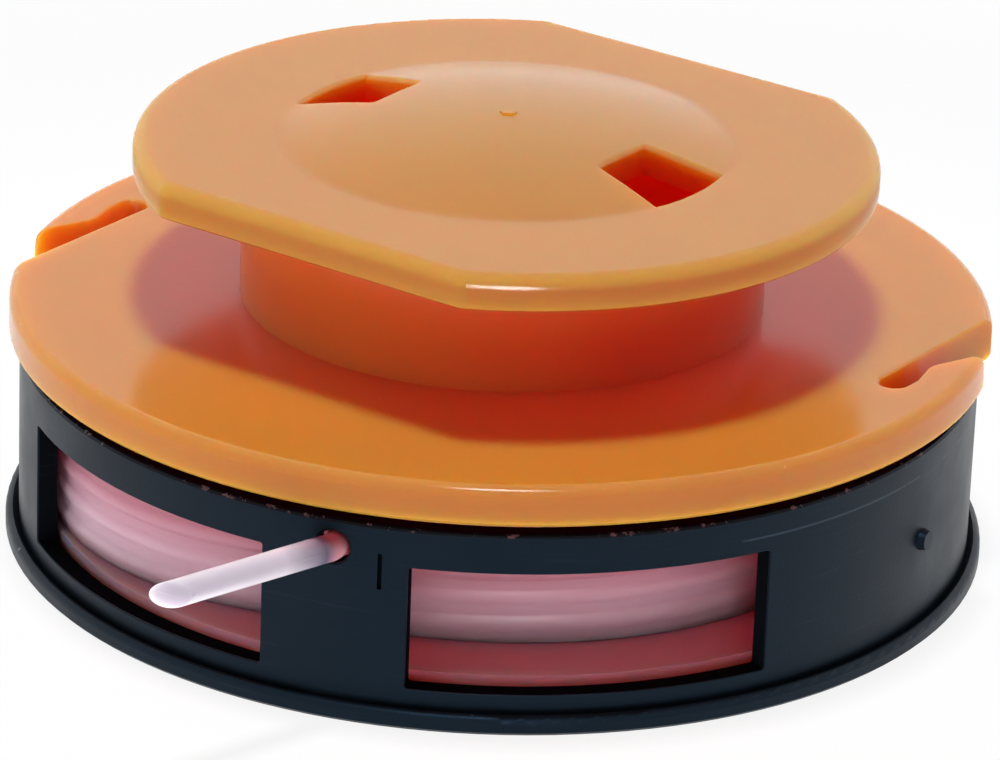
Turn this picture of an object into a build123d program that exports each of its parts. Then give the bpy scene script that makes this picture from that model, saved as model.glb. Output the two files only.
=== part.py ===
"""Trimmer line spool: a windowed drum that holds a turning spool wound with cutting line.

Millimetres, +Z up. The origin is on the spindle axis, on the plane that the drum stands on.
Angles are degrees in plan from +X, counter-clockwise.
"""
import os
from math import acos, cos, degrees, radians, sin, sqrt

from build123d import *

# Cutting line
line_diameter = 1.9

# Drum: wall, floor and foot flange
drum_radius = 34.25
drum_wall = 1.45
drum_height = 14.35
drum_lip_chamfer = 0.25
floor_thickness = 1.5
foot_projection = 0.95
foot_thickness = 1.4
foot_round = 0.5
foot_chamfer = 0.25
foot_groove = 0.35

# Drum: windows and line exits, the same on opposite sides
sides = 2
exit_angle = -108.0
exit_drop = 2.05
exit_clearance = 0.4
exit_round = 0.2
window_offset = 30.0
window_arc = 42.5
window_sill = 2.6
window_height = 8.9
window_corner = 0.2
window_round = 0.1

# Drum: small marks on the wall
tick_angle = -102.5
tick_drop = 1.3
tick_length = 2.6
tick_width = 0.3
tick_depth = 0.25
pip_angle = -29.5
pip_height = 7.5
pip_radius = 1.0
pip_rise = 0.5
pip_taper = 15.0

# Drum: hollow post with the drive bore
post_radius = 12.3
post_wall = 2.0
post_top = 19.5
post_cap = 2.0
rim_radius = 13.8
rim_height = 2.2
rim_lead = 0.9
hub_radius = 6.5
bore_radius = 4.0
hub_ribs = 6
hub_rib_width = 1.6
hub_rib_start = 5.0

# Spool: winding tube and flanges
running_gap = 0.3
tube_radius = 18.7
tube_wall = 2.0
low_flange_thickness = 1.45
flange_overhang = 0.75
flange_gap = 0.9
top_flange_thickness = 2.85
flange_top_round = 0.8
flange_low_chamfer = 0.25

# Spool: grip knob with its dome and notches
grip_angle = 55.0
knob_radius = 26.4
knob_flat = 23.1
neck_height = 8.95
knob_thickness = 2.6
knob_round = 1.0
knob_low_round = 0.4
knob_corner_round = 1.5
dome_radius = 15.9
dome_rise = 2.0
dome_wall = 2.3
dome_blend = 4.0
gate_radius = 0.6
gate_rise = 0.15
notch_inner = 9.8
notch_inner_width = 5.4
notch_outer_width = 7.7
notch_round = 0.35

# Spool: snap noses under the notches
nose_height = 1.8
nose_arc = 24.0
nose_lead = 0.8

# Spool: line-parking slots in the upper flange, measured along and across their straight edge
slot_inset = 5.6
slot_bulb_play = 0.3
slot_bulb_start = 4.1
slot_bulb_length = 1.4
slot_neck_pinch = 0.4
slot_neck_at = 8.3
slot_mouth_at = 12.7
slot_bend = 2.0
slot_round = 0.2
slot_draft = 0.8
slot_back_draft = 0.4

# Winding, with the side where the springy outer turns bow out
coil_gap = 0.15
coil_rows = 5
coil_groove = 0.5
coil_recess = 5.0
bulge_gap = 0.3
bulge_tightening = 5.5
bulge_angle = -164.0

# Free end of the line
tail_inset = 0.2
tail_bend_depth = 0.5
tail_bend = 1.6
tail_turn = -32.0
tail_length = 13.0
tail_cut_turn = 48.0

# How near two places are to count as one
tolerance = 0.001

# Sizes that follow from the ones above
drum_bore = drum_radius - drum_wall
foot_radius = drum_radius + foot_projection
exit_height = drum_height - exit_drop
exit_diameter = line_diameter + exit_clearance
tick_height = exit_height - tick_drop
post_bore = post_radius - post_wall
cap_base = post_top - post_cap
rim_base = post_top - rim_height
low_flange_radius = drum_bore - running_gap
low_flange_base = floor_thickness + running_gap
low_flange_top = low_flange_base + low_flange_thickness
tube_bore = tube_radius - tube_wall
top_flange_radius = drum_radius + flange_overhang
top_flange_base = drum_height + flange_gap
top_flange_top = top_flange_base + top_flange_thickness
knob_base = top_flange_top + neck_height
knob_top = knob_base + knob_thickness
dome_top = knob_top + dome_rise
nose_top = rim_base - running_gap
nose_base = nose_top - nose_height
nose_reach = post_radius + running_gap
notch_angle = grip_angle - 90.0
slot_chord = top_flange_radius - slot_inset
slot_bulb_width = line_diameter + slot_bulb_play
slot_neck_width = line_diameter - slot_neck_pinch
coil_height = coil_rows * line_diameter
coil_radius = low_flange_radius - coil_recess
bulge_reach = low_flange_radius - bulge_gap
bulge_radius = coil_radius - bulge_tightening


def around(radius, angle, height=0.0):
    """Point at a radius and plan angle."""
    return Vector(radius * cos(radians(angle)), radius * sin(radians(angle)), height)


def repeats(angle):
    """The angle and its equal steps round the axis."""
    return [angle + 360.0 / sides * side for side in range(sides)]


def radial_plane(angle):
    """Plane through the axis: local X outwards, local Y up."""
    return Plane(origin=(0, 0, 0), x_dir=around(1, angle), z_dir=around(1, angle - 90))


def wall_plane(angle, radius, height):
    """Plane that faces outwards at a radius: local Y up."""
    return Plane(origin=around(radius, angle, height), x_dir=around(1, angle + 90), z_dir=around(1, angle))


def turned_plane(angle, height):
    """Level plane with its local X at a plan angle."""
    return Plane(origin=(0, 0, height), x_dir=around(1, angle), z_dir=(0, 0, 1))


def plan_radius(point):
    """Distance of a point from the axis."""
    return Vector(point.X, point.Y).length


def samples(edge):
    """Both ends and the middle of an edge."""
    return [edge @ share for share in (0, 0.5, 1)]


def crosses_wall(edge):
    """Whether an edge runs through the drum's wall, from its bore to its outside."""
    ends = sorted(plan_radius(point) for point in samples(edge))
    return abs(ends[0] - drum_bore) < tolerance and abs(ends[-1] - drum_radius) < tolerance


def rims_window(edge, angle):
    """Whether an edge lies on the drum's outer wall, round the window at a plan angle."""
    reach = cos(radians(0.51 * window_arc)) * drum_radius
    on_wall = all(abs(plan_radius(point) - drum_radius) < tolerance for point in samples(edge))
    return on_wall and all(point.dot(around(1, angle)) > reach for point in samples(edge))


def cap_middle(radius, rim_height_at, rise):
    """Point half way out on the arc of a shallow cap."""
    sphere = (radius**2 + rise**2) / (2 * rise)
    return (radius / 2, rim_height_at + rise - sphere + sqrt(sphere**2 - (radius / 2) ** 2))


# Drum
with BuildPart() as drum:
    # Hub, post, floor, foot flange and wall in one turned profile
    with BuildSketch(Plane.XZ):
        with BuildLine():
            foot_rise = (foot_radius, foot_thickness - foot_round)
            foot_crown = (foot_radius - foot_round, foot_thickness)
            Polyline(
                (bore_radius, post_top),
                (bore_radius, 0),
                (hub_radius, 0),
                (hub_radius, cap_base),
                (post_bore, cap_base),
                (post_bore, 0),
                (foot_radius - foot_chamfer, 0),
                (foot_radius, foot_chamfer),
                foot_rise,
            )
            RadiusArc(foot_rise, foot_crown, -foot_round)
            Polyline(
                foot_crown,
                (drum_radius, foot_thickness - foot_groove),
                (drum_radius, drum_height - drum_lip_chamfer),
                (drum_radius - drum_lip_chamfer, drum_height),
                (drum_bore, drum_height),
                (drum_bore, floor_thickness),
                (post_radius, floor_thickness),
                (post_radius, rim_base),
                (rim_radius, rim_base),
                (rim_radius, post_top - rim_lead),
                (rim_radius - rim_lead, post_top),
                (bore_radius, post_top),
            )
        make_face()
    revolve(axis=Axis.Z)

    # Ribs that carry the hub inside the post
    with BuildSketch(Plane.XY.offset(hub_rib_start)):
        rib_middle = (hub_radius + post_bore) / 2
        rib_length = post_bore - hub_radius + hub_rib_width
        with PolarLocations(rib_middle, hub_ribs):
            Rectangle(rib_length, hub_rib_width)
    extrude(amount=cap_base - hub_rib_start)

    # Line exits with rounded edges
    for side_angle in repeats(exit_angle):
        with BuildSketch(wall_plane(side_angle, drum_bore - drum_wall, exit_height)):
            Circle(exit_diameter / 2)
        extrude(amount=3 * drum_wall, mode=Mode.SUBTRACT)
        exit_edges = drum.edges(Select.LAST).filter_by(lambda edge: edge.length > 2 * exit_diameter)
        fillet(exit_edges, exit_round)

    # Windows on both sides of each line exit, with rounded corners and outer edges
    for side_angle in repeats(exit_angle):
        for middle in (side_angle - window_offset, side_angle + window_offset):
            with BuildSketch(radial_plane(middle - window_arc / 2)):
                with Locations((drum_bore - drum_wall, window_sill)):
                    Rectangle(3 * drum_wall, window_height, align=Align.MIN)
            revolve(axis=Axis.Z, revolution_arc=window_arc, mode=Mode.SUBTRACT)
            fillet(drum.edges(Select.LAST).filter_by(crosses_wall), window_corner)
            fillet(drum.edges().filter_by(lambda edge: rims_window(edge, middle)), window_round)

    # Engraved tick and raised pip
    with BuildSketch(wall_plane(tick_angle, drum_radius - tick_depth, tick_height)):
        Rectangle(tick_width, tick_length)
    extrude(amount=2 * tick_depth, mode=Mode.SUBTRACT)
    with BuildSketch(wall_plane(pip_angle, drum_radius - drum_wall / 2, pip_height)):
        Circle(pip_radius)
    extrude(amount=drum_wall / 2 + pip_rise, taper=pip_taper)

# Spool
with BuildPart() as spool:
    # Knob plate with its two flats and rounded upper edge
    with BuildSketch(Plane.XY.offset(knob_base)) as knob_outline:
        Circle(knob_radius)
        Rectangle(2 * knob_flat, 2 * knob_radius, rotation=grip_angle, mode=Mode.INTERSECT)
        fillet(knob_outline.vertices(), knob_corner_round)
    extrude(amount=knob_thickness)
    fillet(spool.faces().sort_by(Axis.Z)[-1].edges(), knob_round)
    fillet(spool.faces().sort_by(Axis.Z)[0].edges(), knob_low_round)
    with BuildSketch(Plane.XY.offset(knob_base)):
        Circle(tube_bore)
    extrude(amount=knob_thickness, mode=Mode.SUBTRACT)

    # Winding tube, both flanges, neck and dome in one turned profile
    with BuildSketch(Plane.XZ) as spool_profile:
        with BuildLine():
            flange_rise = (top_flange_radius, top_flange_top - flange_top_round)
            flange_crown = (top_flange_radius - flange_top_round, top_flange_top)
            Polyline(
                (tube_bore, knob_top - dome_wall),
                (tube_bore, low_flange_base),
                (low_flange_radius, low_flange_base),
                (low_flange_radius, low_flange_top),
                (tube_radius, low_flange_top),
                (tube_radius, top_flange_base),
                (top_flange_radius - flange_low_chamfer, top_flange_base),
                (top_flange_radius, top_flange_base + flange_low_chamfer),
                flange_rise,
            )
            RadiusArc(flange_rise, flange_crown, -flange_top_round)
            Polyline(
                flange_crown,
                (tube_radius, top_flange_top),
                (tube_radius, knob_top),
                (dome_radius, knob_top),
            )
            ThreePointArc(
                (dome_radius, knob_top),
                cap_middle(dome_radius, knob_top, dome_rise),
                (0, dome_top),
            )
            Line((0, dome_top), (0, dome_top - dome_wall))
            ThreePointArc(
                (0, dome_top - dome_wall),
                cap_middle(tube_bore, knob_top - dome_wall, dome_rise),
                (tube_bore, knob_top - dome_wall),
            )
        make_face()
        fillet(spool_profile.vertices().sort_by_distance((dome_radius, knob_top))[0], dome_blend)
    revolve(axis=Axis.Z)

    # Gate mark at the middle of the dome
    with BuildSketch(Plane.XY.offset(dome_top - dome_wall / 2)):
        Circle(gate_radius)
    extrude(amount=dome_wall / 2 + gate_rise)

    # Notches through the dome, with the snap noses below them
    for middle in repeats(notch_angle):
        with BuildSketch(turned_plane(middle, knob_top - 2 * dome_wall)):
            with BuildLine():
                half_inner = notch_inner_width / 2
                half_outer = notch_outer_width / 2
                outer_at = sqrt(dome_radius**2 - half_outer**2)
                Polyline(
                    (outer_at, half_outer),
                    (notch_inner, half_inner),
                    (notch_inner, -half_inner),
                    (outer_at, -half_outer),
                )
                ThreePointArc((outer_at, -half_outer), (dome_radius, 0), (outer_at, half_outer))
            make_face()
        extrude(amount=3 * dome_wall + dome_rise, mode=Mode.SUBTRACT)
        fillet(spool.edges(Select.LAST).filter_by(lambda edge: (edge @ 0.5).Z > knob_top), notch_round)
        with BuildSketch(radial_plane(middle - nose_arc / 2)):
            with BuildLine():
                nose_root = tube_bore + tube_wall / 2
                Polyline(
                    (nose_root, nose_base),
                    (nose_root, nose_top),
                    (nose_reach, nose_top),
                    (nose_reach, nose_base + nose_lead),
                    (nose_reach + nose_lead, nose_base),
                    close=True,
                )
            make_face()
        revolve(axis=Axis.Z, revolution_arc=nose_arc)

    # Parking slots: round end, narrow neck, flared mouth at the rim, with walls that close downwards
    for middle in repeats(notch_angle):
        for height in (top_flange_base - running_gap, top_flange_top + running_gap):
            with BuildSketch(turned_plane(middle, height)) as slot:
                with BuildLine():
                    closing = (top_flange_top - height) / top_flange_thickness
                    straight = slot_chord + closing * slot_back_draft
                    bulb_edge = slot_chord + slot_bulb_width - closing * slot_draft
                    bulb_end = (bulb_edge, slot_bulb_start + slot_bulb_length)
                    neck = (slot_chord + slot_neck_width - closing * slot_draft, slot_neck_at)
                    mouth_at = sqrt(top_flange_radius**2 - slot_mouth_at**2) - closing * slot_draft
                    Polyline(
                        (bulb_edge, slot_bulb_start),
                        bulb_end,
                        neck,
                        (mouth_at, slot_mouth_at),
                        (1.2 * mouth_at, 1.2 * slot_mouth_at),
                        (straight, top_flange_radius),
                        (straight, slot_bulb_start),
                    )
                    ThreePointArc(
                        (straight, slot_bulb_start),
                        ((straight + bulb_edge) / 2, slot_bulb_start - (bulb_edge - straight) / 2),
                        (bulb_edge, slot_bulb_start),
                    )
                make_face()
                for bend in (bulb_end, neck):
                    fillet(slot.vertices().sort_by_distance(bend)[0], slot_bend)
        loft(mode=Mode.SUBTRACT)
        slot_edges = spool.edges(Select.LAST)
        fillet(slot_edges.filter_by(lambda edge: (edge @ 0.5).Z > top_flange_top - tolerance), slot_round)


def winding_outline(inset):
    """Closed plan outline of the winding: a round side, a bowed side and the tangents between them."""
    bulge_offset = bulge_reach - bulge_radius
    half_wrap = degrees(acos((coil_radius - bulge_radius) / bulge_offset))
    bulge_middle = around(bulge_offset, bulge_angle, low_flange_top)
    round_arc = CenterArc(
        (0, 0, low_flange_top), coil_radius - inset, bulge_angle + half_wrap, 360 - 2 * half_wrap
    )
    bowed_arc = CenterArc(bulge_middle, bulge_radius - inset, bulge_angle - half_wrap, 2 * half_wrap)
    Line(round_arc @ 1, bowed_arc @ 0)
    Line(bowed_arc @ 1, round_arc @ 0)
    return round_arc


# Winding: ridged outer turns over a plain body
with BuildPart() as line_coil:
    bead = line_diameter / 2
    with BuildLine() as turn_path:
        first_arc = winding_outline(bead)
    section_plane = Plane(
        origin=first_arc @ 0 + Vector(0, 0, coil_height / 2),
        x_dir=(first_arc @ 0) - Vector(0, 0, low_flange_top),
        z_dir=first_arc % 0,
    )
    with BuildSketch(section_plane):
        with GridLocations(0, line_diameter, 1, coil_rows):
            Circle(bead)
        with Locations((bead - coil_groove, 0)):
            Rectangle(3 * bead, coil_height, align=(Align.MAX, Align.CENTER))
    sweep(path=turn_path.wire())
    with BuildSketch(Plane.XY.offset(low_flange_top)):
        with BuildLine():
            winding_outline(2 * bead)
        make_face()
    extrude(amount=coil_height)
    with BuildSketch(Plane.XY.offset(low_flange_top)):
        Circle(tube_radius + coil_gap)
    extrude(amount=coil_height, mode=Mode.SUBTRACT)

# Free end of the line: out through the first exit, bent aside and cut off at a slant
with BuildPart() as line_tail:
    tail_heading = exit_angle + tail_turn
    with BuildLine() as tail_path:
        exit_run = Line(
            around(drum_bore + tail_inset, exit_angle, exit_height),
            around(drum_radius - tail_bend_depth, exit_angle, exit_height),
        )
        elbow = JernArc(exit_run @ 1, exit_run % 1, tail_bend, tail_turn)
        free_run = Line(elbow @ 1, elbow @ 1 + around(tail_length + line_diameter, tail_heading))
    with BuildSketch(Plane(origin=exit_run @ 0, z_dir=exit_run % 0)):
        Circle(line_diameter / 2)
    sweep(path=tail_path.wire())
    tail_end = elbow @ 1 + around(tail_length, tail_heading)
    cut_normal = around(1, tail_heading + tail_cut_turn)
    split(bisect_by=Plane(origin=tail_end, z_dir=cut_normal), keep=Keep.BOTTOM)

os.makedirs("parts", exist_ok=True)
for piece, name in ((drum, "drum"), (spool, "spool"), (line_coil, "line_coil"), (line_tail, "line_tail")):
    piece.part.label = name
    export_step(piece.part, f"parts/{name}.step")
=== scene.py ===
"""Dresses the trimmer line spool: moulded drum and spool, wound cutting line, its free end and a studio."""
import random
from math import acos, atan2, cos, pi, radians, sin, sqrt, tan

import bmesh
import bpy
from bpy.props import FloatProperty, FloatVectorProperty, IntProperty, PointerProperty
from mathutils import Matrix, Vector


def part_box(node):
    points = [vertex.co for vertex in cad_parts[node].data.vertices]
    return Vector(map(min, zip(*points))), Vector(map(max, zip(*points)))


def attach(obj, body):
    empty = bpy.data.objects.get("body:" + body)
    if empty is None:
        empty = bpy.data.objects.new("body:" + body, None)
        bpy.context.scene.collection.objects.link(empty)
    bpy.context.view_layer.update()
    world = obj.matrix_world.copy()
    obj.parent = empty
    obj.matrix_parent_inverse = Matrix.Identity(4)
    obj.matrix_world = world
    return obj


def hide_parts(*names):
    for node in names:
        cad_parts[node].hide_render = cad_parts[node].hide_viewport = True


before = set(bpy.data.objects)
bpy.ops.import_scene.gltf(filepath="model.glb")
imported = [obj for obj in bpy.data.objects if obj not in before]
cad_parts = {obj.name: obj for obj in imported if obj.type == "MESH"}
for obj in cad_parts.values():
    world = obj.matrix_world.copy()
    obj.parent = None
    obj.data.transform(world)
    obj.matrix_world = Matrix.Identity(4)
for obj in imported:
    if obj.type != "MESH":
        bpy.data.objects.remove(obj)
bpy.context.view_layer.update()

bl_info = {
    "name": "Trimmer Line Spool",
    "version": (1, 0, 0),
    "blender": (4, 5, 0),
    "location": "View3D > Sidebar > Line Spool",
    "description": "Finishes for the drum and spool, the wound line with its free end, and a plain studio",
    "category": "Object",
}

MM = 0.001

# Rims that wear, as radius and height on the axis of the part
DRUM_LIP = (34.25 * MM, 14.35 * MM)
FOOT_RIM = (35.2 * MM, 1.2 * MM)
FLANGE_RIM = (34.7 * MM, 17.9 * MM)

# Fine pale line round the drum's wall, as radius and height, and where it starts on the right
PALE_WALL_LINE = (34.25 * MM, 12.6 * MM)
PALE_LINE_START = 16.5 * MM

# Drum's gloss and its tint; inside the wall's face, as on the cut faces of the windows, there is none
DRUM_GLOSS = 0.25
DRUM_GLOSS_TINT = (0.30, 0.60, 1.0, 1.0)
WALL_FACE = 34.1 * MM

# Heights between which a tint ends: the painted red glow and painted reflection on the lower flange, and the
# painted light on the lower turns
PAINTED_FLANGE_GLOW_EDGE = (4 * MM, 6 * MM)
PAINTED_TURNS_LIGHT_EDGE = (6 * MM, 9.5 * MM)

# Knob's top, the reach of its rounded edge below it, and a radius that lies inside that edge
KNOB_TOP = 29.65 * MM
KNOB_ROUND = 2.4 * MM
KNOB_INSIDE = 20 * MM

# Spool's gloss, and the red light that comes through it to what is near
SPOOL_GLOSS = 0.43
GLOW_COLOUR = (1.0, 0.0, 0.12, 1.0)
GLOW_SHARE = 0.85

# Depths in mm to which red, green and blue light enters each material
SPOOL_DEPTHS = (12.0, 4.2, 1.3)
WOUND_DEPTHS = (9.0, 7.5, 8.0)
FREE_DEPTHS = (1.6, 1.4, 1.6)

# Painted red glow, then painted shade, on the free end where it leaves the drum
ROOT_LENGTH = 6 * MM
ROOT_PAINTED_GLOW = (1.0, 0.48, 0.51, 1.0)
ROOT_SHADE = (0.22, 0.19, 0.28, 1.0)

# Span of a noise texture that holds most of its values
NOISE_SPAN = (0.3, 0.7)


def colour_setting(name, description, colour):
    """A colour to set, with its first value."""
    return FloatVectorProperty(
        name=name, description=description, subtype="COLOR", size=4, min=0.0, max=1.0, default=(*colour, 1.0)
    )


def level_setting(name, description, level):
    """A brightness to set, where 1 is that of a fully lit white sheet."""
    return FloatProperty(name=name, description=description, default=level, min=0.0, max=2.0)


class FinishSettings(bpy.types.PropertyGroup):
    """Colours of the plastics and of the line."""

    drum_colour: colour_setting("Drum", "Black moulding of the drum", (0.0042, 0.0060, 0.0080))
    drum_wear_colour: colour_setting("Drum wear", "Scraped spots on the drum's lip", (0.36, 0.42, 0.43))
    spool_colour: colour_setting("Spool", "Orange moulding of the spool", (0.468, 0.215, 0.026))
    spool_wear_colour: colour_setting("Spool wear", "Rubbed spots on the spool's rims", (0.86, 0.46, 0.20))
    # Painted light on the knob's edge, for light through it and a rounder edge
    knob_edge_painted_light_colour: colour_setting(
        "Knob edge", "Edge of the knob, where light comes through it", (0.56, 0.33, 0.026)
    )
    # Painted shade and painted red glow: the upper turns darker and redder than the line itself
    wound_painted_shade_colour: colour_setting(
        "Wound line", "Line on the spool, with the red showing through", (0.42, 0.14, 0.19)
    )
    line_colour: colour_setting("Line", "Clear nylon of the free end", (0.60, 0.56, 0.63))
    # Painted light on the free end's sides, where it is seen at a slant
    line_sides_painted_light_colour: colour_setting(
        "Line sides", "Free end where it is seen at a slant", (0.97, 0.95, 0.97)
    )
    # Painted light: the lower turns lighter than the upper ones
    lower_turns_painted_light_colour: colour_setting("Lower turns", "Paler line low on the spool", (0.62, 0.37, 0.46))
    # Painted red glow and painted reflection of the line on the lower flange, under the winding
    flange_painted_glow_colour: colour_setting(
        "Lower flange", "Dull pink of the flange under the winding", (0.70, 0.25, 0.29)
    )


class LineSettings(bpy.types.PropertyGroup):
    """Sizes of the cutting line, its winding and its free end."""

    diameter: FloatProperty(
        name="Line diameter", description="Thickness of the cutting line",
        default=1.9 * MM, min=0.5 * MM, max=4 * MM, precision=5, unit="LENGTH",
    )
    rows: IntProperty(name="Rows", description="Turns side by side in the outer layer", default=5, min=1)
    unevenness: FloatProperty(
        name="Unevenness", description="How far a turn strays from its place",
        default=0.16 * MM, min=0.0, max=0.4 * MM, precision=5, unit="LENGTH",
    )
    seed: IntProperty(name="Seed", description="Choice of the uneven turns", default=4, min=0)
    tail_length: FloatProperty(
        name="Free end", description="Length of line from its bend at the exit to its cut",
        default=13.0 * MM, min=4 * MM, max=30 * MM, precision=5, unit="LENGTH",
    )


class StudioSettings(bpy.types.PropertyGroup):
    """Floor, lamps, surroundings and camera."""

    floor_colour: colour_setting("Floor", "Pale floor", (0.90, 0.90, 0.90))
    lamp_level: level_setting("Lamp level", "Brightness of the overhead lamp", 0.88)
    sheen_level: level_setting("Sheen level", "Brightness of the lamp that shows only in gloss", 0.30)
    side_level: level_setting(
        "Side level", "Share of a white sheet's brightness that the side lamp gives", 0.20
    )
    rear_level: level_setting(
        "Rear level", "Share of a white sheet's brightness that the left rear lamp gives", 0.22
    )
    window_level: level_setting(
        "Window level", "Brightness of the lamp that reaches the line through the windows", 0.23
    )
    fill_level: level_setting("Fill level", "Brightness of the surroundings as a light", 0.26)
    lens: FloatProperty(
        name="Lens", description="Focal length", default=216.0, min=20.0, unit="CAMERA",
    )
    distance: FloatProperty(
        name="Distance", description="From the camera to its target", default=0.4305, min=0.1, unit="LENGTH",
    )
    elevation: FloatProperty(
        name="Elevation", description="Camera's angle above the floor",
        default=radians(22.6951), unit="ROTATION",
    )
    roll: FloatProperty(
        name="Roll", description="Camera's turn about its own axis",
        default=radians(2.1829), unit="ROTATION",
    )


def cad_node(name):
    """The object of one CAD node."""
    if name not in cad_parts:
        raise RuntimeError(f"the frame has no {name}")
    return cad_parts[name]


def add_node(tree, kind, at=(0, 0), **values):
    """A new node; values set its properties, or its inputs by name with _ for a space."""
    node = tree.nodes.new(kind)
    node.location = at
    for key, value in values.items():
        if key in node.bl_rna.properties:
            setattr(node, key, value)
        else:
            node.inputs[key.replace("_", " ")].default_value = value
    return node


def feed(tree, socket, value):
    """Give an input its value: a link from a socket, or a plain value."""
    if isinstance(value, bpy.types.NodeSocket):
        tree.links.new(value, socket)
    else:
        socket.default_value = value


def math_node(tree, operation, first, second=0.5, at=(0, 0)):
    """The output of a Math node whose operands are numbers or sockets."""
    node = add_node(tree, "ShaderNodeMath", at, operation=operation)
    feed(tree, node.inputs[0], first)
    feed(tree, node.inputs[1], second)
    return node.outputs[0]


def vector_node(tree, operation, first, second=(0.0, 0.0, 0.0), at=(0, 0)):
    """The outputs of a Vector Math node whose operands are vectors or sockets."""
    node = add_node(tree, "ShaderNodeVectorMath", at, operation=operation)
    feed(tree, node.inputs[0], first)
    feed(tree, node.inputs["Scale" if operation == "SCALE" else 1], second)
    return node.outputs


def ramp(tree, value, ends, results=(0.0, 1.0), at=(0, 0)):
    """The value mapped from its two ends to two results, and held beyond them."""
    node = add_node(tree, "ShaderNodeMapRange", at, To_Min=results[0], To_Max=results[1])
    feed(tree, node.inputs["Value"], value)
    feed(tree, node.inputs["From Min"], ends[0])
    feed(tree, node.inputs["From Max"], ends[1])
    return node.outputs[0]


def split(tree, vector, at):
    """The X, Y and Z of a vector."""
    node = add_node(tree, "ShaderNodeSeparateXYZ", at)
    tree.links.new(vector, node.inputs[0])
    return node.outputs


def new_group(name, inputs, outputs):
    """A shader node group with float sockets, its input node and its output node."""
    group = bpy.data.node_groups.new(name, "ShaderNodeTree")
    for label, value in inputs.items():
        group.interface.new_socket(label, in_out="INPUT", socket_type="NodeSocketFloat").default_value = value
    for label in outputs:
        group.interface.new_socket(label, in_out="OUTPUT", socket_type="NodeSocketFloat")
    entry = add_node(group, "NodeGroupInput", (-900, 0))
    leave = add_node(group, "NodeGroupOutput", (700, 0))
    return group, entry.outputs, leave.inputs


def moulded_skin_group():
    """Fine grain and slow mottling of a moulded surface."""
    group = bpy.data.node_groups.get("moulded_skin")
    if group:
        return group
    group, given, out = new_group(
        "moulded_skin", {"Grain Size": 0.3 * MM, "Mottle Size": 9 * MM}, ("Grain", "Mottle")
    )
    place = add_node(group, "ShaderNodeTexCoord", (-700, 200)).outputs["Object"]
    for label, size, detail in (("Grain", "Grain Size", 3.0), ("Mottle", "Mottle Size", 2.0)):
        noise = add_node(group, "ShaderNodeTexNoise", (-200, 0), Detail=detail)
        group.links.new(place, noise.inputs["Vector"])
        group.links.new(math_node(group, "DIVIDE", 1.0, given[size]), noise.inputs["Scale"])
        group.links.new(noise.outputs["Fac"], out[label])
    return group


def rim_wear_group():
    """Patchy wear along a round rim of the part."""
    group = bpy.data.node_groups.get("rim_wear")
    if group:
        return group
    group, given, out = new_group(
        "rim_wear",
        {
            "Rim Radius": 30 * MM, "Rim Height": 10 * MM,
            "Reach": 0.3 * MM, "Patch Size": 3 * MM, "Amount": 0.3,
        },
        ("Wear",),
    )
    place = add_node(group, "ShaderNodeTexCoord", (-900, 300)).outputs["Object"]
    height = split(group, place, (-700, 300))["Z"]
    across = math_node(group, "SUBTRACT", axis_distance(group, place, (-700, 500)), given["Rim Radius"])
    above = math_node(group, "SUBTRACT", height, given["Rim Height"])
    away = math_node(
        group, "SQRT",
        math_node(
            group, "ADD",
            math_node(group, "MULTIPLY", across, across),
            math_node(group, "MULTIPLY", above, above),
        ),
    )
    near = ramp(group, away, (0.0, given["Reach"]), (1.0, 0.0), (100, 200))
    patches = add_node(group, "ShaderNodeTexNoise", (-200, -100), Detail=4.0, Roughness=0.65)
    group.links.new(place, patches.inputs["Vector"])
    group.links.new(math_node(group, "DIVIDE", 1.0, given["Patch Size"]), patches.inputs["Scale"])
    worn = math_node(group, "ADD", patches.outputs["Fac"], math_node(group, "SUBTRACT", given["Amount"], 1.0))
    sharp = ramp(group, worn, (0.0, 0.06), at=(300, -100))
    group.links.new(math_node(group, "MULTIPLY", near, sharp), out["Wear"])
    return group


def scuffs_group():
    """Faint scuffs that run round the part, as handling leaves them."""
    group = bpy.data.node_groups.get("scuffs")
    if group:
        return group
    group, given, out = new_group("scuffs", {"Length": 6 * MM, "Width": 0.25 * MM, "Amount": 0.3}, ("Scuff",))
    place = add_node(group, "ShaderNodeTexCoord", (-900, 300)).outputs["Object"]
    parts = split(group, place, (-700, 300))
    stretched = add_node(group, "ShaderNodeCombineXYZ", (-300, 200))
    for axis, size in (("X", "Length"), ("Y", "Length"), ("Z", "Width")):
        group.links.new(math_node(group, "DIVIDE", parts[axis], given[size]), stretched.inputs[axis])
    noise = add_node(group, "ShaderNodeTexNoise", (-100, 200), Scale=1.0, Detail=3.0, Roughness=0.6)
    group.links.new(stretched.outputs[0], noise.inputs["Vector"])
    marked = math_node(group, "ADD", noise.outputs["Fac"], math_node(group, "SUBTRACT", given["Amount"], 1.0))
    group.links.new(ramp(group, marked, (0.0, 0.15), at=(300, 100)), out["Scuff"])
    return group


def line_streaks_group():
    """Streaks along the drawn line, from the map that runs along and around it."""
    group = bpy.data.node_groups.get("line_streaks")
    if group:
        return group
    group, given, out = new_group("line_streaks", {"Length": 14 * MM, "Count": 5.0}, ("Streak",))
    place = add_node(group, "ShaderNodeUVMap", (-900, 200), uv_map="along_line").outputs["UV"]
    parts = split(group, place, (-700, 200))
    stretched = add_node(group, "ShaderNodeCombineXYZ", (-300, 200))
    group.links.new(math_node(group, "DIVIDE", parts["X"], given["Length"]), stretched.inputs["X"])
    group.links.new(math_node(group, "MULTIPLY", parts["Y"], given["Count"]), stretched.inputs["Y"])
    noise = add_node(group, "ShaderNodeTexNoise", (-100, 200), Scale=1.0, Detail=2.0)
    group.links.new(stretched.outputs[0], noise.inputs["Vector"])
    group.links.new(noise.outputs["Fac"], out["Streak"])
    return group


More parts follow.
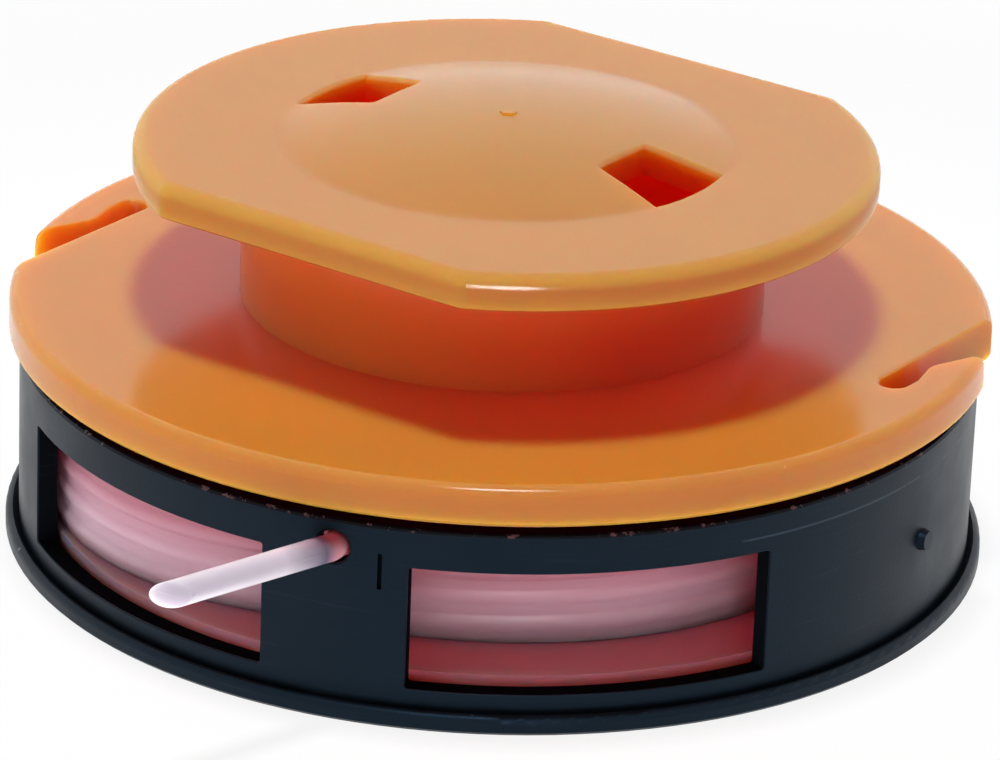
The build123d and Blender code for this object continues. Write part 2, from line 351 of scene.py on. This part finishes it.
def place_group(tree, group, at, **values):
    """A group node with its input values set."""
    node = add_node(tree, "ShaderNodeGroup", at, node_tree=group)
    for key, value in values.items():
        node.inputs[key.replace("_", " ")].default_value = value
    return node.outputs


def new_material(name):
    """A material with its tree and Principled shader."""
    material = bpy.data.materials.new(name)
    material.use_nodes = True
    return material, material.node_tree, material.node_tree.nodes["Principled BSDF"]


def mix_colour(tree, mask, base, over, at):
    """Colour that goes from base to over with the mask."""
    node = add_node(tree, "ShaderNodeMix", at, data_type="RGBA")
    tree.links.new(mask, node.inputs["Factor"])
    feed(tree, node.inputs[6], base)
    feed(tree, node.inputs[7], over)
    return node.outputs[2]


def shade(colour, factor):
    """The colour with its brightness changed."""
    return [channel * factor for channel in colour[:3]] + [1.0]


def soften(shader, depths):
    """Let light into the material, to a depth in mm for each of red, green and blue."""
    shader.inputs["Subsurface Weight"].default_value = 1.0
    shader.inputs["Subsurface Radius"].default_value = depths
    shader.inputs["Subsurface Scale"].default_value = MM


def level_part(tree, vector, at):
    """The vector without its height."""
    return vector_node(tree, "MULTIPLY", vector, (1.0, 1.0, 0.0), at)[0]


def axis_distance(tree, place, at):
    """Distance from the spindle axis."""
    return vector_node(tree, "LENGTH", level_part(tree, place, at), at=at)["Value"]


def bump(tree, shader, height, depth, at):
    """Relief of a given depth on the shader's normal."""
    node = add_node(tree, "ShaderNodeBump", at, Strength=1.0, Distance=depth)
    tree.links.new(height, node.inputs["Height"])
    tree.links.new(node.outputs[0], shader.inputs["Normal"])
    return node


def knob_edge(tree, place, height):
    """Normal that turns over the knob's edge as a wide round does, and a mask of that edge where light is
    painted on.
    """
    plain = add_node(tree, "ShaderNodeNewGeometry", (-1100, -700)).outputs["Normal"]
    outward = vector_node(tree, "NORMALIZE", level_part(tree, plain, (-900, -700)), at=(-700, -700))[0]
    rise = ramp(tree, height, (KNOB_TOP - KNOB_ROUND, KNOB_TOP), at=(-900, -500))
    lean = math_node(tree, "SQRT", math_node(tree, "SUBTRACT", 1.0, math_node(tree, "MULTIPLY", rise, rise)))
    upward = vector_node(tree, "SCALE", (0.0, 0.0, 1.0), rise, (-500, -500))[0]
    across = vector_node(tree, "SCALE", outward, lean, (-500, -700))[0]
    turned = vector_node(tree, "ADD", across, upward, (-300, -600))[0]
    outer = math_node(tree, "GREATER_THAN", axis_distance(tree, place, (-1100, -400)), KNOB_INSIDE)
    upper = math_node(tree, "GREATER_THAN", height, KNOB_TOP - KNOB_ROUND)
    inside = math_node(tree, "MULTIPLY", outer, upper)
    mix = add_node(tree, "ShaderNodeMix", (100, -600), data_type="VECTOR")
    tree.links.new(inside, mix.inputs["Factor"])
    tree.links.new(plain, mix.inputs[4])
    tree.links.new(turned, mix.inputs[5])
    return mix.outputs[1], math_node(tree, "MULTIPLY", inside, lean)


def drum_plastic(finish):
    """Matt blue-black moulding with a scraped lip."""
    material, tree, shader = new_material("drum_moulding")
    skin = place_group(tree, moulded_skin_group(), (-900, 300), Grain_Size=0.16 * MM, Mottle_Size=5 * MM)
    lip = place_group(
        tree, rim_wear_group(), (-900, 0), Rim_Radius=DRUM_LIP[0], Rim_Height=DRUM_LIP[1],
        Reach=0.27 * MM, Patch_Size=0.9 * MM, Amount=0.43,
    )
    foot = place_group(
        tree, rim_wear_group(), (-900, -300), Rim_Radius=FOOT_RIM[0], Rim_Height=FOOT_RIM[1],
        Reach=0.5 * MM, Patch_Size=1.6 * MM, Amount=0.30,
    )
    scuffs = place_group(tree, scuffs_group(), (-900, -600), Length=7 * MM, Width=0.2 * MM, Amount=0.40)
    # A fine line round the wall, lighter than the drum, on the right side only
    pale_line = place_group(
        tree, rim_wear_group(), (-900, -900), Rim_Radius=PALE_WALL_LINE[0], Rim_Height=PALE_WALL_LINE[1],
        Reach=0.12 * MM, Patch_Size=5 * MM, Amount=0.55,
    )
    place = add_node(tree, "ShaderNodeTexCoord", (-1100, -900)).outputs["Object"]
    sideways = split(tree, place, (-900, -1100))["X"]
    right = math_node(tree, "GREATER_THAN", sideways, PALE_LINE_START, (-700, -1100))
    pale_line_right = math_node(tree, "MULTIPLY", pale_line["Wear"], right, (-500, -1000))
    base = mix_colour(
        tree, skin["Mottle"], shade(finish.drum_colour, 0.8), shade(finish.drum_colour, 1.25), (-600, 300)
    )
    scuffed = mix_colour(tree, scuffs["Scuff"], base, shade(finish.drum_colour, 2.2), (-500, 300))
    scuffed = mix_colour(tree, pale_line_right, scuffed, shade(finish.drum_colour, 9.0), (-400, 300))
    worn = math_node(tree, "MAXIMUM", lip["Wear"], foot["Wear"], (-600, 0))
    tree.links.new(
        mix_colour(tree, worn, scuffed, list(finish.drum_wear_colour), (-200, 300)),
        shader.inputs["Base Color"],
    )
    roughness = ramp(tree, skin["Mottle"], NOISE_SPAN, (0.34, 0.44), (-400, 0))
    tree.links.new(roughness, shader.inputs["Roughness"])
    outside = math_node(tree, "GREATER_THAN", axis_distance(tree, place, (-900, -1300)), WALL_FACE)
    gloss = math_node(tree, "MULTIPLY", outside, DRUM_GLOSS, (-500, -1300))
    tree.links.new(gloss, shader.inputs["Specular IOR Level"])
    shader.inputs["Specular Tint"].default_value = DRUM_GLOSS_TINT
    bump(tree, shader, skin["Grain"], 0.012 * MM, (-200, -300))
    return material


def spool_plastic(finish):
    """Waxy orange moulding that lets red light through."""
    material, tree, shader = new_material("spool_moulding")
    skin = place_group(tree, moulded_skin_group(), (-900, 300), Grain_Size=0.35 * MM, Mottle_Size=14 * MM)
    rim = place_group(
        tree, rim_wear_group(), (-900, 0), Rim_Radius=FLANGE_RIM[0], Rim_Height=FLANGE_RIM[1],
        Reach=0.3 * MM, Patch_Size=2.0 * MM, Amount=0.33,
    )
    base = mix_colour(
        tree, skin["Mottle"], shade(finish.spool_colour, 0.95), shade(finish.spool_colour, 1.05), (-600, 300)
    )
    place = add_node(tree, "ShaderNodeTexCoord", (-1100, 600)).outputs["Object"]
    height = split(tree, place, (-900, 600))["Z"]
    # Painted red glow and painted reflection on the lower flange, below the winding
    low = ramp(tree, height, PAINTED_FLANGE_GLOW_EDGE, (1.0, 0.0), (-600, 600))
    flange_painted_glow = mix_colour(tree, low, base, list(finish.flange_painted_glow_colour), (-400, 400))
    # Painted light on the knob's edge, brightest where the edge is upright
    edge_normal, edge = knob_edge(tree, place, height)
    painted_edge_light = mix_colour(tree, edge, flange_painted_glow, list(finish.knob_edge_painted_light_colour), (-300, 350))
    tree.links.new(
        mix_colour(tree, rim["Wear"], painted_edge_light, list(finish.spool_wear_colour), (-200, 300)),
        shader.inputs["Base Color"],
    )
    roughness = ramp(tree, skin["Mottle"], NOISE_SPAN, (0.13, 0.17), (-400, 0))
    tree.links.new(roughness, shader.inputs["Roughness"])
    shader.inputs["Specular IOR Level"].default_value = SPOOL_GLOSS
    soften(shader, SPOOL_DEPTHS)
    relief = bump(tree, shader, skin["Grain"], 0.006 * MM, (-200, -300))
    tree.links.new(edge_normal, relief.inputs["Normal"])
    glow = add_node(tree, "ShaderNodeBsdfTranslucent", (200, -300), Color=GLOW_COLOUR)
    path = add_node(tree, "ShaderNodeLightPath", (0, 500))
    mix = add_node(tree, "ShaderNodeMixShader", (500, 100))
    tree.links.new(math_node(tree, "MULTIPLY", path.outputs["Is Diffuse Ray"], GLOW_SHARE), mix.inputs[0])
    tree.links.new(shader.outputs[0], mix.inputs[1])
    tree.links.new(glow.outputs[0], mix.inputs[2])
    tree.links.new(mix.outputs[0], tree.nodes["Material Output"].inputs["Surface"])
    return material


def streaked(tree, streak, colour):
    """The line's colour, a little darker and lighter along its streaks."""
    return mix_colour(tree, streak, shade(colour, 0.94), shade(colour, 1.05), (-400, 300))


def wound_line(finish):
    """Nylon of the winding, with the spool's red painted in as glow and shade on its upper turns, and painted
    light on its lower turns.
    """
    material, tree, shader = new_material("line_nylon_wound")
    streaks = place_group(tree, line_streaks_group(), (-900, 300), Length=25 * MM, Count=6.0)
    wound = streaked(tree, streaks["Streak"], finish.wound_painted_shade_colour)
    place = add_node(tree, "ShaderNodeTexCoord", (-1100, 600)).outputs["Object"]
    # Painted light on the lower turns, with painted shade and red glow above them
    low = ramp(tree, split(tree, place, (-900, 600))["Z"], PAINTED_TURNS_LIGHT_EDGE, (1.0, 0.0), (-600, 600))
    tree.links.new(
        mix_colour(tree, low, wound, list(finish.lower_turns_painted_light_colour), (-200, 300)), shader.inputs["Base Color"]
    )
    roughness = ramp(tree, streaks["Streak"], NOISE_SPAN, (0.28, 0.42), (-400, 0))
    tree.links.new(roughness, shader.inputs["Roughness"])
    soften(shader, WOUND_DEPTHS)
    return material


def free_line(finish):
    """Clear nylon of the free end: painted light at its sides, and painted red glow and painted shade where
    it leaves the drum.
    """
    material, tree, shader = new_material("line_nylon_free")
    streaks = place_group(tree, line_streaks_group(), (-900, 300), Length=12 * MM, Count=6.0)
    core = streaked(tree, streaks["Streak"], finish.line_colour)
    # Painted light on the sides of the line, where it is seen at a slant
    side = add_node(tree, "ShaderNodeLayerWeight", (-900, 600), Blend=0.22)
    painted_edge_light = mix_colour(tree, side.outputs["Facing"], core, list(finish.line_sides_painted_light_colour), (-200, 400))
    place = add_node(tree, "ShaderNodeUVMap", (-900, 0), uv_map="along_line").outputs["UV"]
    # Painted red glow, then painted shade, along the first mm where the line leaves the drum
    along = ramp(tree, split(tree, place, (-700, 0))["X"], (0.0, ROOT_LENGTH), at=(-500, 0))
    root_glow_and_shade = add_node(tree, "ShaderNodeValToRGB", (-300, 0))
    stops = root_glow_and_shade.color_ramp.elements
    stops[0].position, stops[0].color = 0.22, ROOT_PAINTED_GLOW
    stops[1].position, stops[1].color = 0.95, (1.0, 1.0, 1.0, 1.0)
    stops.new(0.40).color = ROOT_SHADE
    tree.links.new(along, root_glow_and_shade.inputs["Fac"])
    tint = add_node(tree, "ShaderNodeMix", (0, 300), data_type="RGBA", blend_type="MULTIPLY")
    tint.inputs["Factor"].default_value = 1.0
    tree.links.new(painted_edge_light, tint.inputs[6])
    tree.links.new(root_glow_and_shade.outputs["Color"], tint.inputs[7])
    tree.links.new(tint.outputs[2], shader.inputs["Base Color"])
    roughness = ramp(tree, streaks["Streak"], NOISE_SPAN, (0.16, 0.30), (-400, -300))
    tree.links.new(roughness, shader.inputs["Roughness"])
    soften(shader, FREE_DEPTHS)
    return material


# Winding: radii on the axis, with the side where the springy outer turns bow out
TUBE_RADIUS = 18.85 * MM
COIL_RADIUS = 27.5 * MM
BULGE_REACH = 32.2 * MM
BULGE_RADIUS = 22.0 * MM
BULGE_ANGLE = radians(-164.0)
JOG_ANGLE = radians(-175.0)
BODY_DEPTH = 0.2 * MM
TURN_STEPS = 240
RELIEF_STEPS = 110


def winding_reach(angle):
    """Outer radius of the winding at a plan angle: a round side, a bowed side and tangents between them."""
    offset = BULGE_REACH - BULGE_RADIUS
    half_wrap = acos((COIL_RADIUS - BULGE_RADIUS) / offset)
    bow_end = atan2(BULGE_RADIUS * sin(half_wrap), offset + BULGE_RADIUS * cos(half_wrap))
    aside = abs((angle - BULGE_ANGLE + pi) % (2 * pi) - pi)
    if aside < bow_end:
        return offset * cos(aside) + sqrt(BULGE_RADIUS**2 - (offset * sin(aside)) ** 2)
    if aside < half_wrap:
        return COIL_RADIUS / cos(half_wrap - aside)
    return COIL_RADIUS


def outer_turns(line):
    """Height, stray, and the phase and count of the stray's waves for each turn in the outer layer."""
    low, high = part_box("line_coil")
    chance = random.Random(line.seed)
    turns = []
    for row in range(-1, line.rows + 1):
        height = low[2] + (row + 0.5) * line.diameter
        turns.append((height, chance.uniform(0.0, 1.0), chance.uniform(0.0, 2 * pi), chance.choice((2, 3))))
    return turns


def winding_radius(line, turns, angle, height):
    """Radius of the winding's surface: the outermost of its turns, which climb one place in a round."""
    round_share = ((angle - JOG_ANGLE) / (2 * pi)) % 1.0
    bead = line.diameter / 2
    deepest = BODY_DEPTH
    for place, stray, phase, waves in turns:
        sway = line.unevenness * stray * (0.5 + 0.5 * sin(waves * angle + phase)) * sin(pi * round_share)
        off = (height - place - round_share * line.diameter) / bead
        if abs(off) < 1:
            deepest = min(deepest, bead * (1 - sqrt(1 - off * off)) + sway)
    return winding_reach(angle) - deepest


def winding_mesh(name, line):
    """The winding as a closed ring with its turns in relief, and a map along and across the turns."""
    low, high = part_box("line_coil")
    turns = outer_turns(line)
    heights = [low[2] + (high[2] - low[2]) * step / RELIEF_STEPS for step in range(RELIEF_STEPS + 1)]
    verts, faces, maps = [], [], []
    for step in range(TURN_STEPS):
        angle = JOG_ANGLE + 2 * pi * step / TURN_STEPS
        ring = [(winding_radius(line, turns, angle, height), height) for height in heights]
        ring += [(TUBE_RADIUS, high[2]), (TUBE_RADIUS, low[2])]
        verts += [(radius * cos(angle), radius * sin(angle), height) for radius, height in ring]
    count = len(heights) + 2
    for step in range(TURN_STEPS):
        here, after = step * count, (step + 1) % TURN_STEPS * count
        start, end = (2 * pi * COIL_RADIUS * share / TURN_STEPS for share in (step, step + 1))
        for side in range(count):
            follow = (side + 1) % count
            faces.append((here + side, after + side, after + follow, here + follow))
            across, beyond = side / RELIEF_STEPS * line.rows, (side + 1) / RELIEF_STEPS * line.rows
            maps.append(((start, across), (end, across), (end, beyond), (start, beyond)))
    return mapped_mesh(name, verts, faces, maps)


def mapped_mesh(name, verts, faces, maps):
    """A smooth mesh with the map that runs along the line."""
    mesh = bpy.data.meshes.new(name)
    mesh.from_pydata(verts, [], faces)
    layer = mesh.uv_layers.new(name="along_line")
    for corner, place in enumerate(place for face in maps for place in face):
        layer.uv[corner].vector = place
    mesh.shade_smooth()
    return mesh


def tube_mesh(name, points, radius, sides):
    """A round tube along the points, with end caps and a map that runs along and around it."""
    verts, faces, maps = [], [], []
    travelled = 0.0
    for number, point in enumerate(points):
        before = points[max(number - 1, 0)]
        after = points[min(number + 1, len(points) - 1)]
        ahead = (after - before).normalized()
        aside = ahead.cross(Vector((0, 0, 1))).normalized()
        upward = aside.cross(ahead)
        travelled += (point - before).length
        for side in range(sides):
            turn = 2 * pi * side / sides
            verts.append(point + (aside * cos(turn) + upward * sin(turn)) * radius)
        if number == 0:
            continue
        start = travelled - (point - before).length
        for side in range(sides):
            first, second = side, (side + 1) % sides
            row, last_row = number * sides, (number - 1) * sides
            faces.append((last_row + first, last_row + second, row + second, row + first))
            low, high = side / sides, (side + 1) / sides
            maps.append(((start, low), (start, high), (travelled, high), (travelled, low)))
    end = (len(points) - 1) * sides
    faces.append(tuple(range(sides)))
    maps.append(tuple((0.0, side / sides) for side in range(sides)))
    faces.append(tuple(end + side for side in reversed(range(sides))))
    maps.append(tuple((travelled, side / sides) for side in reversed(range(sides))))
    return mapped_mesh(name, verts, faces, maps)


def place_piece(mesh, body, node, material):
    """A new piece that stands for a CAD node and rides on its body."""
    piece = bpy.data.objects.new(mesh.name, mesh)
    bpy.context.scene.collection.objects.link(piece)
    piece.data.materials.append(material)
    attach(piece, body)
    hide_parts(node)
    return piece


def make_winding(line, finish):
    """The wound line: one ring, shaped by its outer turns."""
    mesh = winding_mesh("wound_line", line)
    return place_piece(mesh, "spool", "line_coil", wound_line(finish))


# Free end of the line: straight through the exit in the drum's wall, then bent aside
EXIT_RUN = (33.0 * MM, 33.75 * MM)
EXIT_HEIGHT = 12.3 * MM
EXIT_ANGLE = radians(-108.0)
TAIL_BEND = 1.6 * MM
TAIL_TURN = radians(-32.0)
TAIL_CUT_TURN = radians(48.0)
BEND_RINGS = 10
TAIL_RINGS = 40
TAIL_SIDES = 32
TAIL_EDGE = 0.05 * MM


def heading(angle):
    """Level unit vector at a plan angle."""
    return Vector((cos(angle), sin(angle), 0.0))


def make_tail(line, finish):
    """The free end: a stub that bends aside as it leaves the exit, cut off at a slant."""
    ahead = heading(EXIT_ANGLE + TAIL_TURN)
    lift = Vector((0, 0, EXIT_HEIGHT))
    points = [heading(EXIT_ANGLE) * radius + lift for radius in EXIT_RUN]
    pivot = points[-1] + heading(EXIT_ANGLE - pi / 2) * TAIL_BEND
    for ring in range(1, BEND_RINGS + 1):
        points.append(pivot + heading(EXIT_ANGLE + pi / 2 + TAIL_TURN * ring / BEND_RINGS) * TAIL_BEND)
    bent = points[-1]
    for ring in range(1, TAIL_RINGS + 1):
        points.append(bent + ahead * ((line.tail_length + line.diameter) * ring / TAIL_RINGS))
    mesh = tube_mesh("line_end", points, line.diameter / 2, TAIL_SIDES)
    cut = bmesh.new()
    cut.from_mesh(mesh)
    sliced = bmesh.ops.bisect_plane(
        cut, geom=cut.verts[:] + cut.edges[:] + cut.faces[:], plane_co=bent + ahead * line.tail_length,
        plane_no=heading(EXIT_ANGLE + TAIL_TURN + TAIL_CUT_TURN), clear_outer=True,
    )
    edges = [part for part in sliced["geom_cut"] if isinstance(part, bmesh.types.BMEdge)]
    bmesh.ops.contextual_create(cut, geom=edges)
    bmesh.ops.bevel(
        cut, geom=edges, offset=TAIL_EDGE, offset_type="OFFSET", segments=2, profile=0.5, affect="EDGES"
    )
    cut.to_mesh(mesh)
    cut.free()
    mesh.shade_smooth()
    return place_piece(mesh, "drum", "line_tail", free_line(finish))


# Floor: between two distances it whitens as it is seen, its glow near the part ends and its colour dims
FLOOR_RADIUS = 2.0
FLOOR_FADE = (0.07, 0.14)
FLOOR_WHITE = (0.88, 1.0)
FLOOR_GLOW = 1.0
FLOOR_DIM = 0.2

# Lamps: their distance, and the place of each as angles, with its width as the part sees it
LAMP_DISTANCE = 0.9
LAMP_LEAN = (radians(-1.5), radians(4.0))
LAMP_WIDTH = radians(9.0)
SHEEN_ANGLE = radians(-88.0)
SHEEN_RISE = radians(62.0)
SHEEN_WIDTH = radians(14.0)
SIDE_ANGLE = radians(-152.0)
SIDE_RISE = radians(8.0)
SIDE_WIDTH = radians(16.0)
REAR_TURN = radians(36.0)
REAR_RISE = radians(10.0)
REAR_WIDTH = radians(24.0)
WINDOW_ANGLE = radians(-82.0)
WINDOW_RISE = radians(20.0)
WINDOW_WIDTH = radians(22.0)

# Surroundings as a light: dimmer in front, up to where the view turns to the back
FRONT_EDGE = (-0.5, 0.4)
FRONT_LEVEL = 0.4

# Camera
SENSOR_WIDTH = 36.0
CAMERA_TARGET = Vector((0.126 * MM, 0.0, 11.193 * MM))


def seen_rays(tree, at):
    """1 on the rays that see the background: from the camera, in gloss and through clear pieces."""
    path = add_node(tree, "ShaderNodeLightPath", at)
    seen = math_node(tree, "ADD", path.outputs["Is Camera Ray"], path.outputs["Is Glossy Ray"], at)
    seen = math_node(tree, "ADD", seen, path.outputs["Is Transmission Ray"], at)
    return math_node(tree, "MINIMUM", seen, 1.0, at)


def floor_material(studio):
    """Pale floor that keeps the shadow and fades to white away from the part."""
    material, tree, shader = new_material("studio_floor")
    shader.inputs["Roughness"].default_value = 0.9
    shader.inputs["Specular IOR Level"].default_value = 0.0
    place = add_node(tree, "ShaderNodeTexCoord", (-900, 0)).outputs["Object"]
    away = vector_node(tree, "LENGTH", place, at=(-700, 0))["Value"]
    fade = ramp(tree, away, FLOOR_FADE, FLOOR_WHITE, (-500, 0))
    white = add_node(tree, "ShaderNodeEmission", (0, -200), Color=(1, 1, 1, 1), Strength=1.0)
    shader.inputs["Emission Color"].default_value = (1, 1, 1, 1)
    glow = ramp(tree, away, FLOOR_FADE, (FLOOR_GLOW, 0.0), (-500, 300))
    seen = seen_rays(tree, (-700, -300))
    unseen = math_node(tree, "SUBTRACT", 1.0, seen)
    tree.links.new(math_node(tree, "MULTIPLY", glow, unseen), shader.inputs["Emission Strength"])
    outer = ramp(tree, away, FLOOR_FADE, at=(-500, 600))
    dimmed = shade(studio.floor_colour, FLOOR_DIM)
    tree.links.new(
        mix_colour(tree, outer, list(studio.floor_colour), dimmed, (-200, 600)), shader.inputs["Base Color"]
    )
    mix = add_node(tree, "ShaderNodeMixShader", (300, 0))
    tree.links.new(math_node(tree, "MULTIPLY", fade, seen), mix.inputs[0])
    tree.links.new(shader.outputs[0], mix.inputs[1])
    tree.links.new(white.outputs[0], mix.inputs[2])
    tree.links.new(mix.outputs[0], tree.nodes["Material Output"].inputs["Surface"])
    return material


def make_floor(studio):
    """A wide round floor under the part."""
    mesh = bpy.data.meshes.new("floor")
    disc = bmesh.new()
    bmesh.ops.create_circle(disc, cap_ends=True, segments=96, radius=FLOOR_RADIUS)
    disc.to_mesh(mesh)
    disc.free()
    floor = bpy.data.objects.new("floor", mesh)
    floor.data.materials.append(floor_material(studio))
    bpy.context.scene.collection.objects.link(floor)


def make_world(studio):
    """White surroundings: plain white where they are seen, softer as a light, and dim in front."""
    world = bpy.data.worlds.new("studio_white")
    world.use_nodes = True
    tree = world.node_tree
    tree.nodes.clear()
    ahead = add_node(tree, "ShaderNodeTexCoord", (-900, 300)).outputs["Generated"]
    backward = split(tree, ahead, (-700, 300))["Y"]
    levels = (FRONT_LEVEL * studio.fill_level, studio.fill_level)
    fill = add_node(tree, "ShaderNodeBackground", (0, 100), Color=(1, 1, 1, 1))
    tree.links.new(ramp(tree, backward, FRONT_EDGE, levels, (-500, 300)), fill.inputs["Strength"])
    shown = add_node(tree, "ShaderNodeBackground", (0, -100), Color=(1, 1, 1, 1), Strength=1.0)
    mix = add_node(tree, "ShaderNodeMixShader", (300, 0))
    tree.links.new(seen_rays(tree, (-400, 0)), mix.inputs[0])
    tree.links.new(fill.outputs[0], mix.inputs[1])
    tree.links.new(shown.outputs[0], mix.inputs[2])
    output = add_node(tree, "ShaderNodeOutputWorld", (600, 0))
    tree.links.new(mix.outputs[0], output.inputs["Surface"])
    bpy.context.scene.world = world


def raised(angle, rise):
    """Unit vector at a plan angle and an angle above the floor."""
    return heading(angle) * cos(rise) + Vector((0.0, 0.0, sin(rise)))


def make_lamp(name, level, towards, distance, width):
    """A round soft lamp that faces the part from a direction, as wide as an angle seen from the part."""
    lamp = bpy.data.lights.new(name, "AREA")
    lamp.shape = "DISK"
    lamp.size = 2 * distance * tan(width / 2)
    lamp.energy = level * (pi * distance) ** 2
    holder = bpy.data.objects.new(name, lamp)
    holder.location = towards * distance
    holder.rotation_euler = (-towards).to_track_quat("-Z", "Y").to_euler()
    holder.visible_camera = False
    bpy.context.scene.collection.objects.link(holder)
    return holder


def make_lamps(studio):
    """A lamp overhead, one for the gloss, low ones at the side and behind, and one for the winding alone."""
    overhead = Vector((tan(LAMP_LEAN[0]), tan(LAMP_LEAN[1]), 1.0)).normalized()
    make_lamp("overhead_lamp", studio.lamp_level, overhead, LAMP_DISTANCE, LAMP_WIDTH).visible_glossy = False
    sheen = raised(SHEEN_ANGLE, SHEEN_RISE)
    make_lamp("sheen_lamp", studio.sheen_level, sheen, LAMP_DISTANCE, SHEEN_WIDTH).visible_diffuse = False
    side = raised(SIDE_ANGLE, SIDE_RISE)
    make_lamp("side_lamp", studio.side_level, side, LAMP_DISTANCE, SIDE_WIDTH).visible_glossy = False
    for name, turn, share in (("rear_left_lamp", REAR_TURN, 1.0), ("rear_right_lamp", -REAR_TURN, 0.5)):
        rear = raised(pi / 2 + turn, REAR_RISE)
        make_lamp(name, studio.rear_level * share, rear, LAMP_DISTANCE, REAR_WIDTH).visible_glossy = False
    front = raised(WINDOW_ANGLE, WINDOW_RISE)
    window_lamp = make_lamp("window_lamp", studio.window_level, front, LAMP_DISTANCE, WINDOW_WIDTH)
    lit = bpy.data.collections.new("lit_through_windows")
    lit.objects.link(bpy.data.objects["wound_line"])
    window_lamp.light_linking.receiver_collection = lit


def make_camera(studio):
    """The camera at the photograph's angle."""
    camera = bpy.data.cameras.new("camera")
    camera.sensor_width = SENSOR_WIDTH
    camera.lens = studio.lens
    camera.clip_start = 0.01
    camera.clip_end = 20.0
    view = Vector((0.0, cos(studio.elevation), -sin(studio.elevation)))
    level = Vector((1.0, 0.0, 0.0))
    upright = level.cross(view)
    right = level * cos(studio.roll) + upright * sin(studio.roll)
    upward = upright * cos(studio.roll) - level * sin(studio.roll)
    placed = Matrix((right, upward, -view)).transposed().to_4x4()
    placed.translation = CAMERA_TARGET - view * studio.distance
    holder = bpy.data.objects.new("camera", camera)
    holder.matrix_world = placed
    bpy.context.scene.collection.objects.link(holder)
    bpy.context.scene.camera = holder


class LINESPOOL_OT_drum(bpy.types.Operator):
    """Give the drum its black moulded finish"""

    bl_idname = "line_spool.drum"
    bl_label = "Drum"

    def execute(self, context):
        cad_node("drum").material_slots[0].material = drum_plastic(context.scene.spool_finish)
        return {"FINISHED"}


class LINESPOOL_OT_spool(bpy.types.Operator):
    """Give the spool its orange moulded finish"""

    bl_idname = "line_spool.spool"
    bl_label = "Spool"

    def execute(self, context):
        cad_node("spool").material_slots[0].material = spool_plastic(context.scene.spool_finish)
        return {"FINISHED"}


class LINESPOOL_OT_winding(bpy.types.Operator):
    """Wind the line onto the spool"""

    bl_idname = "line_spool.winding"
    bl_label = "Wound Line"

    def execute(self, context):
        make_winding(context.scene.spool_line, context.scene.spool_finish)
        return {"FINISHED"}


class LINESPOOL_OT_tail(bpy.types.Operator):
    """Lead the free end of the line out of the drum"""

    bl_idname = "line_spool.tail"
    bl_label = "Free End"

    def execute(self, context):
        make_tail(context.scene.spool_line, context.scene.spool_finish)
        return {"FINISHED"}


class LINESPOOL_OT_studio(bpy.types.Operator):
    """Set the floor, the light and the camera"""

    bl_idname = "line_spool.studio"
    bl_label = "Studio"

    def execute(self, context):
        studio = context.scene.spool_studio
        context.scene.view_settings.view_transform = "Standard"
        make_floor(studio)
        make_world(studio)
        make_lamps(studio)
        make_camera(studio)
        return {"FINISHED"}


STEPS = ("drum", "spool", "winding", "tail", "studio")


class LINESPOOL_PT_panel(bpy.types.Panel):
    """Steps that dress the line spool, with their settings"""

    bl_label = "Line Spool"
    bl_idname = "LINESPOOL_PT_panel"
    bl_space_type = "VIEW_3D"
    bl_region_type = "UI"
    bl_category = "Line Spool"

    def draw(self, context):
        for step in STEPS:
            self.layout.operator(f"line_spool.{step}")
        for name in SETTINGS:
            settings = getattr(context.scene, name)
            box = self.layout.box()
            for label in settings.__annotations__:
                box.prop(settings, label)


SETTINGS = {"spool_finish": FinishSettings, "spool_line": LineSettings, "spool_studio": StudioSettings}
CLASSES = (
    *SETTINGS.values(),
    LINESPOOL_OT_drum,
    LINESPOOL_OT_spool,
    LINESPOOL_OT_winding,
    LINESPOOL_OT_tail,
    LINESPOOL_OT_studio,
    LINESPOOL_PT_panel,
)


def register():
    """Register the classes and hang their settings on the scene."""
    for kind in CLASSES:
        bpy.utils.register_class(kind)
    for name, kind in SETTINGS.items():
        setattr(bpy.types.Scene, name, PointerProperty(type=kind))


def unregister():
    """Take the settings and the classes away again."""
    for name in SETTINGS:
        delattr(bpy.types.Scene, name)
    for kind in reversed(CLASSES):
        bpy.utils.unregister_class(kind)


def main():
    """Dress the part in order."""
    register()
    for step in STEPS:
        getattr(bpy.ops.line_spool, step)()


if __name__ == "__main__":
    main()
